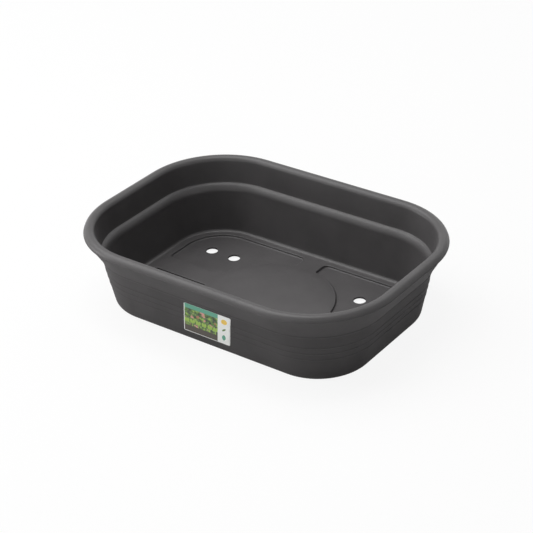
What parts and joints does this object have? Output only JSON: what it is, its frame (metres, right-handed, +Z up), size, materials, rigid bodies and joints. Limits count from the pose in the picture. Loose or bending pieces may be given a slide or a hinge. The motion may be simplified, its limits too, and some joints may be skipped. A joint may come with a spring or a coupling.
{
  "type": "plant growing tray",
  "caption": "Deep moulded plastic growing tray: rounded rectangle with a rolled rim, inner ledge, ribbed walls, sunk floor pockets with drain holes, and a stuck-on label.",
  "frame": {"origin": "middle of the tray's plan, on the ground that its base stands on", "axes": "+X along the tray's length, -Y towards the side with the label, +Z up"},
  "size_m": [0.37, 0.269, 0.0924],
  "materials": {
    "tray_plastic": "moulded, fine satin grain",
    "label_film": "printed film, semi-gloss"
  },
  "bodies": {
    "root": {"tray": "tray_plastic", "label": "label_film"}
  },
  "joints": []
}
